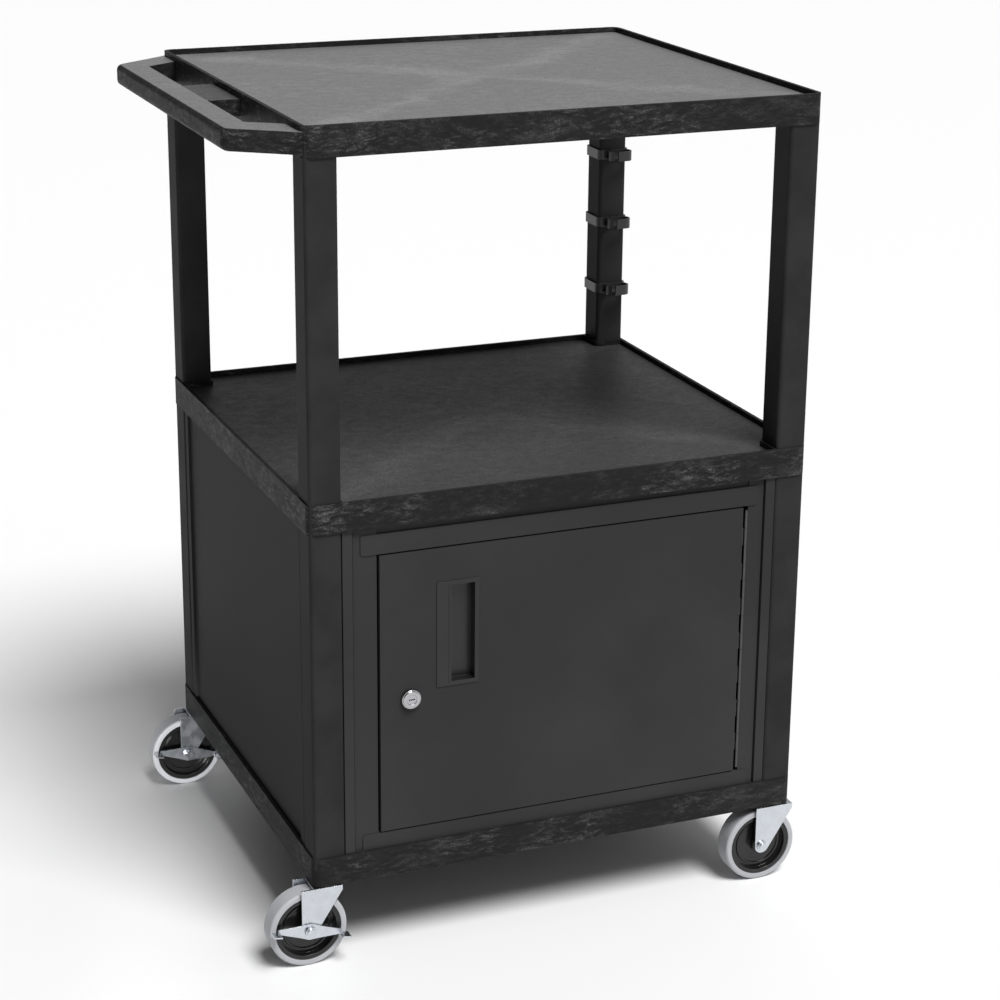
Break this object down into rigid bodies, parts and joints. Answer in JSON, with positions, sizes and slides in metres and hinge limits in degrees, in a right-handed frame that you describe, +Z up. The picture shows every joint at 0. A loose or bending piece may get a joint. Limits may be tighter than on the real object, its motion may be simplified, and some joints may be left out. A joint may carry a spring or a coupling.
{
  "type": "rolling presentation cart",
  "caption": "Rolling presentation cart: moulded plastic shelves on square legs, push handle, locking steel cabinet and swivel casters.",
  "frame": {"origin": "on the floor, under the middle of the whole cart's bounding box", "axes": "+Z up; the cabinet door faces -Y; the push handle is at the -X end"},
  "size_m": [0.7618, 0.6245, 1.067],
  "materials": {
    "shelf_foam": "mottled structural foam",
    "leg_plastic": "smooth matte moulding",
    "powder_steel": "fine black powder coat",
    "pull_plastic": "satin",
    "hinge_steel": "plated",
    "zinc": "bright zinc plate",
    "chrome": "polished",
    "clip_plastic": "satin",
    "hub_plastic": "semi-gloss",
    "tyre_rubber": "smooth grey rubber"
  },
  "bodies": {
    "cart": {"top_shelf": "shelf_foam", "middle_shelf": "shelf_foam", "bottom_shelf": "shelf_foam", "upper_leg_front_left": "leg_plastic", "upper_leg_front_right": "leg_plastic", "upper_leg_rear_left": "leg_plastic", "upper_leg_rear_right": "leg_plastic", "lower_leg_front_left": "leg_plastic", "lower_leg_front_right": "leg_plastic", "lower_leg_rear_left": "leg_plastic", "lower_leg_rear_right": "leg_plastic", "cabinet_left_panel": "powder_steel", "cabinet_right_panel": "powder_steel", "cabinet_back_panel": "powder_steel", "cabinet_top_rail": "powder_steel", "cabinet_bottom_rail": "powder_steel", "cabinet_screws": "zinc", "hinge_frame_leaf": "hinge_steel", "hinge_pin": "hinge_steel", "hinge_frame_rivets": "hinge_steel", "cable_clip_upper": "clip_plastic", "cable_clip_middle": "clip_plastic", "cable_clip_lower": "clip_plastic", "caster_stems": "zinc"},
    "door": {"cabinet_door": "powder_steel", "door_pull": "pull_plastic", "hinge_door_leaf": "hinge_steel", "hinge_door_rivets": "hinge_steel", "lock_barrel": "chrome", "lock_nut": "zinc"},
    "lock_core": {"lock_plug": "chrome", "lock_cam": "zinc", "lock_cam_screw": "zinc"},
    "caster_front_left": {"fork_front_left": "zinc", "axle_bolt_front_left": "zinc", "axle_nut_front_left": "zinc"},
    "wheel_front_left": {"hub_front_left": "hub_plastic", "tyre_front_left": "tyre_rubber"},
    "brake_front_left": {"brake_lever_front_left": "zinc"},
    "caster_front_right": {"fork_front_right": "zinc", "axle_bolt_front_right": "zinc", "axle_nut_front_right": "zinc"},
    "wheel_front_right": {"hub_front_right": "hub_plastic", "tyre_front_right": "tyre_rubber"},
    "caster_rear_left": {"fork_rear_left": "zinc", "axle_bolt_rear_left": "zinc", "axle_nut_rear_left": "zinc"},
    "wheel_rear_left": {"hub_rear_left": "hub_plastic", "tyre_rear_left": "tyre_rubber"},
    "brake_rear_left": {"brake_lever_rear_left": "zinc"},
    "caster_rear_right": {"fork_rear_right": "zinc", "axle_bolt_rear_right": "zinc", "axle_nut_rear_right": "zinc"},
    "wheel_rear_right": {"hub_rear_right": "hub_plastic", "tyre_rear_right": "tyre_rubber"}
  },
  "joints": [
    {"name": "door_hinge", "type": "hinge", "parent": "cart", "child": "door", "pos_m": [0.2885, -0.29205, 0.353], "axis": [0, 0, 1], "range_deg": [0, 110]},
    {"name": "lock_turn", "type": "hinge", "parent": "door", "child": "lock_core", "pos_m": [-0.1729, -0.29425, 0.345], "axis": [0, 1, 0], "range_deg": [0, 90]},
    {"name": "swivel_front_left", "type": "hinge", "parent": "cart", "child": "caster_front_left", "pos_m": [-0.2859, -0.27925, 0.106], "axis": [0, 0, 1], "continuous": true},
    {"name": "roll_front_left", "type": "hinge", "parent": "caster_front_left", "child": "wheel_front_left", "pos_m": [-0.3089, -0.27925, 0.0508], "axis": [0, 1, 0], "continuous": true},
    {"name": "brake_front_left", "type": "hinge", "parent": "caster_front_left", "child": "brake_front_left", "pos_m": [-0.3089, -0.29915, 0.0508], "axis": [0, -1, 0], "range_deg": [0, 20]},
    {"name": "swivel_front_right", "type": "hinge", "parent": "cart", "child": "caster_front_right", "pos_m": [0.3531, -0.27925, 0.106], "axis": [0, 0, 1], "continuous": true},
    {"name": "roll_front_right", "type": "hinge", "parent": "caster_front_right", "child": "wheel_front_right", "pos_m": [0.3301, -0.27925, 0.0508], "axis": [0, 1, 0], "continuous": true},
    {"name": "swivel_rear_left", "type": "hinge", "parent": "cart", "child": "caster_rear_left", "pos_m": [-0.2859, 0.28775, 0.106], "axis": [0, 0, 1], "continuous": true},
    {"name": "roll_rear_left", "type": "hinge", "parent": "caster_rear_left", "child": "wheel_rear_left", "pos_m": [-0.3089, 0.28775, 0.0508], "axis": [0, 1, 0], "continuous": true},
    {"name": "brake_rear_left", "type": "hinge", "parent": "caster_rear_left", "child": "brake_rear_left", "pos_m": [-0.3089, 0.26785, 0.0508], "axis": [0, -1, 0], "range_deg": [0, 20]},
    {"name": "swivel_rear_right", "type": "hinge", "parent": "cart", "child": "caster_rear_right", "pos_m": [0.3531, 0.28775, 0.106], "axis": [0, 0, 1], "continuous": true},
    {"name": "roll_rear_right", "type": "hinge", "parent": "caster_rear_right", "child": "wheel_rear_right", "pos_m": [0.3301, 0.28775, 0.0508], "axis": [0, 1, 0], "continuous": true}
  ]
}
